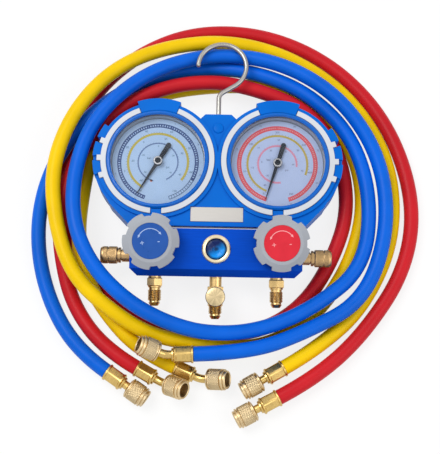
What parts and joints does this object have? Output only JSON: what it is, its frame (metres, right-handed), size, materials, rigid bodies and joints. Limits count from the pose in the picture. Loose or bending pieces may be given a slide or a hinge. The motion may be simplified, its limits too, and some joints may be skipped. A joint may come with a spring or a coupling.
{
  "type": "refrigerant manifold gauge set",
  "caption": "Refrigerant manifold with a pair of pressure gauges in a moulded housing, hand valves, a sight glass, a hanging hook and coiled charging hoses with flare nuts.",
  "frame": {"origin": "on the flat back of the gauge housing, midway between the two gauge axes", "axes": "+X to the right seen from the front, from the low-side gauge to the high-side gauge; +Y towards the hanging hook; +Z out of the gauge faces"},
  "size_m": [0.3286, 0.354, 0.0661],
  "materials": {
    "azure_plastic": "satin",
    "light_grey_plastic": "satin",
    "blue_anodised": "satin anodised",
    "blue_trim": "gloss",
    "red_trim": "gloss",
    "steel": "brushed",
    "brass": "turned",
    "glass": "clear",
    "sight_blue": "clear",
    "dial_blue": "matte print",
    "black": "matte",
    "blue_hose": "satin",
    "red_hose": "satin",
    "yellow_hose": "satin",
    "silver_plate": "satin"
  },
  "bodies": {
    "manifold": {"gauge_housing": "azure_plastic", "rear_cover": "azure_plastic", "rear_screws": "steel", "front_plate": "silver_plate", "manifold_block": "blue_anodised", "sight_ring": "brass", "sight_lens": "sight_blue", "centre_tee": "brass", "guard_ring_left": "light_grey_plastic", "gauge_case_left": "steel", "bezel_left": "blue_trim", "gauge_lens_left": "glass", "dial_left": "dial_blue", "gauge_socket_left": "brass", "bourdon_tube_left": "brass", "valve_bonnet_left": "brass", "bottom_port_left": "brass", "side_port_left": "brass", "guard_ring_right": "light_grey_plastic", "gauge_case_right": "steel", "bezel_right": "blue_trim", "gauge_lens_right": "glass", "dial_right": "dial_blue", "gauge_socket_right": "brass", "bourdon_tube_right": "brass", "valve_bonnet_right": "brass", "bottom_port_right": "brass", "side_port_right": "brass", "hose_blue": "blue_hose", "hose_red": "red_hose", "hose_yellow": "yellow_hose", "ferrule_blue_1": "brass", "ferrule_blue_2": "brass", "ferrule_red_1": "brass", "ferrule_red_2": "brass", "ferrule_yellow_1": "brass", "ferrule_yellow_2": "brass"},
    "hook": {"hook": "steel"},
    "centre_cap": {"centre_cap": "brass"},
    "sector_left": {"sector_gear_left": "brass"},
    "pointer_left": {"pinion_left": "brass", "pointer_left": "black"},
    "valve_left": {"valve_stem_left": "brass"},
    "knob_left": {"knob_left": "light_grey_plastic", "knob_label_left": "blue_trim"},
    "side_cap_left": {"side_cap_left": "brass"},
    "sector_right": {"sector_gear_right": "brass"},
    "pointer_right": {"pinion_right": "brass", "pointer_right": "black"},
    "valve_right": {"valve_stem_right": "brass"},
    "knob_right": {"knob_right": "light_grey_plastic", "knob_label_right": "red_trim"},
    "side_cap_right": {"side_cap_right": "brass"},
    "nut_blue_1": {"hose_nut_blue_1": "brass"},
    "nut_blue_2": {"hose_nut_blue_2": "brass"},
    "nut_red_1": {"hose_nut_red_1": "brass"},
    "nut_red_2": {"hose_nut_red_2": "brass"},
    "nut_yellow_1": {"hose_nut_yellow_1": "brass"},
    "nut_yellow_2": {"hose_nut_yellow_2": "brass"}
  },
  "joints": [
    {"name": "hook_swivel", "type": "hinge", "parent": "manifold", "child": "hook", "pos_m": [0, 0.04, 0.034], "axis": [0, 1, 0], "range_deg": [-3, 3]},
    {"name": "centre_cap_pull", "type": "slide", "parent": "manifold", "child": "centre_cap", "axis": [0, -0.2079, 0.9781], "range_m": [0, 0.01]},
    {"name": "sector_swing_left", "type": "hinge", "parent": "manifold", "child": "sector_left", "pos_m": [-0.05821, -0.02255, 0.0196], "axis": [0, 0, 1], "range_deg": [-1.5, 34.72]},
    {"name": "pointer_turn_left", "type": "hinge", "parent": "manifold", "child": "pointer_left", "pos_m": [-0.05, 0, 0.0316], "axis": [0, 0, 1], "range_deg": [-312.5, 13.5]},
    {"name": "valve_travel_left", "type": "slide", "parent": "manifold", "child": "valve_left", "axis": [0, -0.2079, 0.9781], "range_m": [0, 0.0019]},
    {"name": "knob_turn_left", "type": "hinge", "parent": "valve_left", "child": "knob_left", "pos_m": [-0.052, -0.07327, 0.04936], "axis": [0, -0.2079, 0.9781], "range_deg": [0, 540]},
    {"name": "side_cap_left_pull", "type": "slide", "parent": "manifold", "child": "side_cap_left", "axis": [-1, 0, 0], "range_m": [0, 0.004]},
    {"name": "sector_swing_right", "type": "hinge", "parent": "manifold", "child": "sector_right", "pos_m": [0.04179, -0.02255, 0.0196], "axis": [0, 0, 1], "range_deg": [0, 36.11]},
    {"name": "pointer_turn_right", "type": "hinge", "parent": "manifold", "child": "pointer_right", "pos_m": [0.05, 0, 0.0316], "axis": [0, 0, 1], "range_deg": [-325, 0]},
    {"name": "valve_travel_right", "type": "slide", "parent": "manifold", "child": "valve_right", "axis": [0, -0.2079, 0.9781], "range_m": [0, 0.0019]},
    {"name": "knob_turn_right", "type": "hinge", "parent": "valve_right", "child": "knob_right", "pos_m": [0.052, -0.07327, 0.04936], "axis": [0, -0.2079, 0.9781], "range_deg": [0, 540]},
    {"name": "side_cap_right_pull", "type": "slide", "parent": "manifold", "child": "side_cap_right", "axis": [1, 0, 0], "range_m": [0, 0.012]},
    {"name": "nut_spin_blue_1", "type": "hinge", "parent": "manifold", "child": "nut_blue_1", "pos_m": [-0.06175, -0.1901, 0.009], "axis": [0.8311, -0.5562, 0], "continuous": true},
    {"name": "nut_spin_blue_2", "type": "hinge", "parent": "manifold", "child": "nut_blue_2", "pos_m": [-0.05285, -0.1561, 0.03074], "axis": [-0.8785, 0.2856, 0.383], "continuous": true},
    {"name": "nut_spin_red_1", "type": "hinge", "parent": "manifold", "child": "nut_red_1", "pos_m": [-0.03042, -0.18556, 0.01649], "axis": [0.8195, -0.3085, 0.483], "continuous": true},
    {"name": "nut_spin_red_2", "type": "hinge", "parent": "manifold", "child": "nut_red_2", "pos_m": [0.02584, -0.20611, 0.009], "axis": [-0.8799, -0.4751, 0], "continuous": true},
    {"name": "nut_spin_yellow_1", "type": "hinge", "parent": "manifold", "child": "nut_yellow_1", "pos_m": [0.00322, -0.17851, 0.01494], "axis": [0.9221, -0.0547, 0.383], "continuous": true},
    {"name": "nut_spin_yellow_2", "type": "hinge", "parent": "manifold", "child": "nut_yellow_2", "pos_m": [0.03062, -0.18286, 0.009], "axis": [-0.8644, -0.5028, 0], "continuous": true}
  ],
  "couplings": [
    {"joint": "pointer_turn_left", "follows": "sector_swing_left", "ratio": -9},
    {"joint": "valve_travel_left", "follows": "knob_turn_left", "m_per_rad": 0.00019894},
    {"joint": "pointer_turn_right", "follows": "sector_swing_right", "ratio": -9},
    {"joint": "valve_travel_right", "follows": "knob_turn_right", "m_per_rad": 0.00019894}
  ]
}
